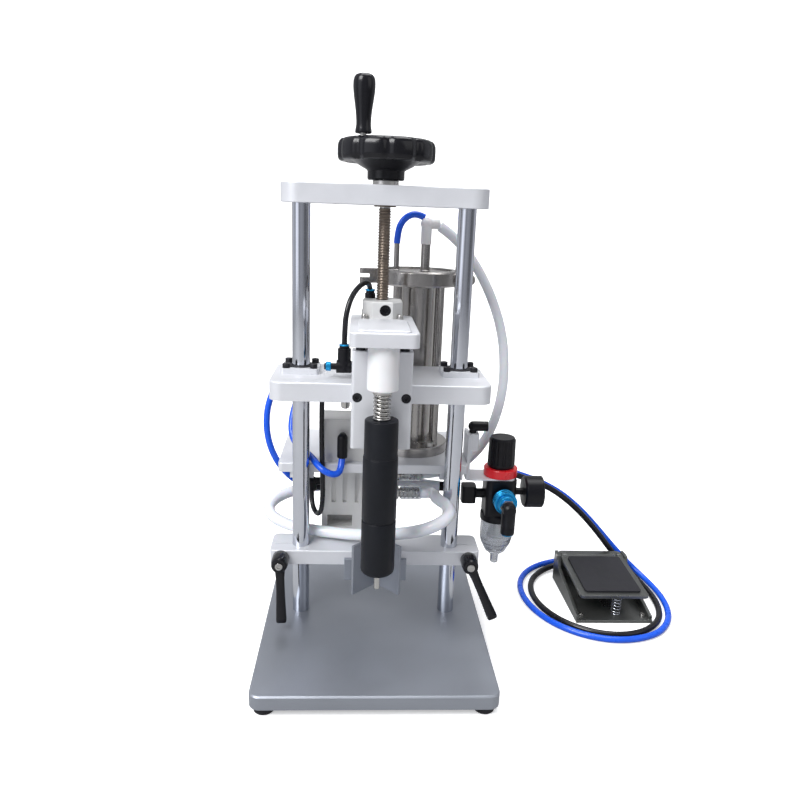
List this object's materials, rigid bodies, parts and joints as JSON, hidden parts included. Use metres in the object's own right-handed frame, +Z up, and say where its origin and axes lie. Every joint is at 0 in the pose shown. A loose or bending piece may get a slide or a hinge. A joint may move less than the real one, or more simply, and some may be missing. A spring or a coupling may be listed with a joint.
{
  "type": "bench capping machine",
  "caption": "Bench capping press with a handwheel-raised head on two columns, a sprung crimping sleeve, a dosing vessel, air regulator, hoses and a foot pedal.",
  "frame": {"origin": "on the bench, midway between the two columns, at the centre of the four bench bolt holes under the feet", "axes": "+X to the machine's right along the columns, +Y to its back, +Z up along the columns"},
  "size_m": [0.5457, 0.34, 0.6364],
  "materials": {
    "anodised": "satin",
    "blasted_base": "satin",
    "pale_block": "satin",
    "column_chrome": "polished",
    "stainless": "satin",
    "steel": "satin",
    "black_steel": "satin",
    "greased_screw": "satin",
    "bakelite": "gloss",
    "sleeve_black": "matte",
    "white_plastic": "satin",
    "fitting_black": "gloss",
    "lock_red": "gloss",
    "valve_blue": "satin",
    "clear_bowl": "gloss",
    "clear_hose": "satin",
    "tube_blue": "gloss",
    "tube_black": "gloss",
    "pedal_metal": "satin",
    "rubber": "matte"
  },
  "bodies": {
    "frame": {"top_plate": "anodised", "rear_deck": "anodised", "regulator_bracket": "anodised", "base_plate": "blasted_base", "control_valve": "pale_block", "dosing_cylinder": "pale_block", "dosing_valve": "pale_block", "column_left": "column_chrome", "column_right": "column_chrome", "vessel_body": "stainless", "vessel_lid": "stainless", "vessel_tie_rods": "stainless", "clamp_ring": "stainless", "pedal_spring": "steel", "frame_screws": "steel", "screw_bushing": "greased_screw", "hose_riser": "white_plastic", "push_in_elbows": "fitting_black", "pressure_gauge": "fitting_black", "regulator_body": "fitting_black", "slide_valve": "fitting_black", "regulator_ring": "lock_red", "filter_bowl": "clear_bowl", "fill_hose": "clear_hose", "product_hose": "clear_hose", "tube_left_outer": "tube_blue", "tube_left_inner": "tube_blue", "lid_tube": "tube_blue", "pedal_tube_blue": "tube_blue", "cylinder_tube": "tube_black", "pedal_tube_black": "tube_black", "pedal_base": "pedal_metal", "rubber_feet": "rubber"},
    "wheel": {"handwheel": "bakelite", "lead_screw": "greased_screw"},
    "grip": {"wheel_handle": "bakelite"},
    "carriage": {"carriage_plate": "anodised", "flange_bearings": "anodised", "carriage_screws": "black_steel", "head_upright": "anodised", "head_arm": "anodised", "arm_cover": "anodised", "air_block": "anodised", "nut_block": "pale_block", "guide_nose": "white_plastic", "head_fittings": "fitting_black", "head_tube": "tube_black"},
    "press": {"press_spindle": "steel", "collet_holder": "steel", "head_spring": "steel"},
    "sleeve": {"crimp_sleeve": "sleeve_black"},
    "pin": {"centre_pin": "steel"},
    "table": {"lower_table": "anodised", "bottle_locator": "blasted_base"},
    "lever_left": {"clamp_lever_left": "bakelite"},
    "lever_right": {"clamp_lever_right": "bakelite"},
    "knob": {"regulator_knob": "fitting_black"},
    "valve_ring": {"slide_ring": "valve_blue"},
    "pedal": {"treadle": "pedal_metal", "treadle_pad": "rubber"}
  },
  "joints": [
    {"name": "wheel_turn", "type": "hinge", "parent": "frame", "child": "wheel", "pos_m": [0, 0, 0.52], "axis": [0, 0, 1], "range_deg": [-9000, 3600]},
    {"name": "grip_spin", "type": "hinge", "parent": "wheel", "child": "grip", "pos_m": [-0.025, -0.031, 0.59], "axis": [0, 0, 1], "continuous": true},
    {"name": "carriage_slide", "type": "slide", "parent": "frame", "child": "carriage", "axis": [0, 0, 1], "range_m": [-0.03, 0.075], "deforming": ["cylinder_tube"]},
    {"name": "press_stroke", "type": "slide", "parent": "carriage", "child": "press", "axis": [0, 0, -1], "range_m": [0, 0.006], "stiffness_N_per_m": 1500, "springref_m": -0.006},
    {"name": "sleeve_lift", "type": "slide", "parent": "press", "child": "sleeve", "axis": [0, 0, 1], "range_m": [0, 0.014], "stiffness_N_per_m": 1000, "springref_m": -0.008, "deforming": ["head_spring"]},
    {"name": "pin_lift", "type": "slide", "parent": "press", "child": "pin", "axis": [0, 0, 1], "range_m": [0, 0.012], "stiffness_N_per_m": 200, "springref_m": -0.005},
    {"name": "table_slide", "type": "slide", "parent": "frame", "child": "table", "axis": [0, 0, 1], "range_m": [-0.008, 0.018], "deforming": ["product_hose"]},
    {"name": "lever_left_turn", "type": "hinge", "parent": "table", "child": "lever_left", "pos_m": [-0.112, -0.03, 0.1035], "axis": [0, 1, 0], "range_deg": [-30, 80]},
    {"name": "lever_right_turn", "type": "hinge", "parent": "table", "child": "lever_right", "pos_m": [0.112, -0.03, 0.1035], "axis": [0, 1, 0], "range_deg": [-80, 30]},
    {"name": "regulator_turn", "type": "hinge", "parent": "frame", "child": "knob", "pos_m": [0.156, 0.04, 0.22], "axis": [0, 0, 1], "range_deg": [-720, 720]},
    {"name": "shutoff_slide", "type": "slide", "parent": "frame", "child": "valve_ring", "axis": [0, -1, 0], "range_m": [0, 0.006]},
    {"name": "pedal_press", "type": "hinge", "parent": "frame", "child": "pedal", "pos_m": [0.313, 0.118, 0.038], "axis": [1, 0, 0], "range_deg": [0, 11], "stiffness_Nm_per_rad": 4, "springref_deg": -3.44, "deforming": ["pedal_spring"]}
  ],
  "couplings": [
    {"joint": "wheel_turn", "follows": "carriage_slide", "rad_per_m": -2094.4}
  ]
}
